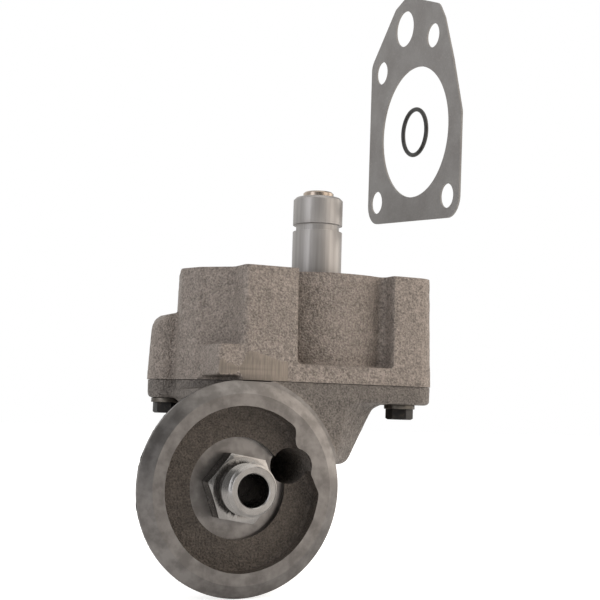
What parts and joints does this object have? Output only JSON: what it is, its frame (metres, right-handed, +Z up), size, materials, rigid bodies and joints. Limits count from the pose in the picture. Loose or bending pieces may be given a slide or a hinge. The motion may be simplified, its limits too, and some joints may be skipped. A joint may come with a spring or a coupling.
{
  "type": "engine oil pump",
  "caption": "Rotor oil pump with a tall machined pilot, a cast body, an angled-off round base for a spin-on filter, and its loose mounting gasket and O-ring.",
  "frame": {"origin": "on the pilot's axis, in the plane of the face that bolts to the engine block", "axes": "+Z up along the pilot, away from the pump; +X to the right as seen from the filter; +Y to the back, away from the filter pad"},
  "size_m": [0.1322, 0.1045, 0.2517],
  "materials": {
    "cast_iron": "sand-cast grey iron with a coarse grain; the pilot and the filter land are machined smooth",
    "ground_steel": "ground steel",
    "sintered_steel": "sintered steel, ground faces",
    "plated_steel": "zinc-plated steel",
    "copper": "soft copper",
    "spring_steel": "wound spring steel",
    "black_steel": "black oxide steel",
    "black_rubber": "moulded black rubber, satin",
    "gasket_paper": "grey-brown fibre gasket sheet"
  },
  "bodies": {
    "housing": {"pump_body": "cast_iron", "filter_base": "cast_iron", "relief_plug": "plated_steel", "relief_plug_gasket": "copper", "relief_spring": "spring_steel", "filter_nipple": "plated_steel", "base_seal_ring": "black_rubber", "passage_seal_ring": "black_rubber", "cover_bolt_1": "black_steel", "cover_bolt_2": "black_steel", "cover_bolt_3": "black_steel", "cover_bolt_4": "black_steel", "lock_washer_1": "black_steel", "lock_washer_2": "black_steel", "lock_washer_3": "black_steel", "lock_washer_4": "black_steel", "mounting_gasket": "gasket_paper", "pilot_o_ring": "black_rubber"},
    "shaft": {"drive_shaft": "ground_steel", "inner_rotor": "sintered_steel"},
    "ring_rotor": {"outer_rotor": "sintered_steel"},
    "relief_valve": {"relief_plunger": "ground_steel"}
  },
  "joints": [
    {"name": "shaft_spin", "type": "hinge", "parent": "housing", "child": "shaft", "pos_m": [0, 0, 0], "axis": [0, 0, 1], "continuous": true},
    {"name": "outer_rotor_spin", "type": "hinge", "parent": "housing", "child": "ring_rotor", "pos_m": [0, 0.004, 0], "axis": [0, 0, 1], "continuous": true},
    {"name": "relief_valve_slide", "type": "slide", "parent": "housing", "child": "relief_valve", "axis": [0, 1, 0], "range_m": [0, 0.007], "stiffness_N_per_m": 2500, "springref_m": -0.008, "deforming": ["relief_spring"]}
  ],
  "couplings": [
    {"joint": "outer_rotor_spin", "follows": "shaft_spin", "ratio": 0.8}
  ]
}
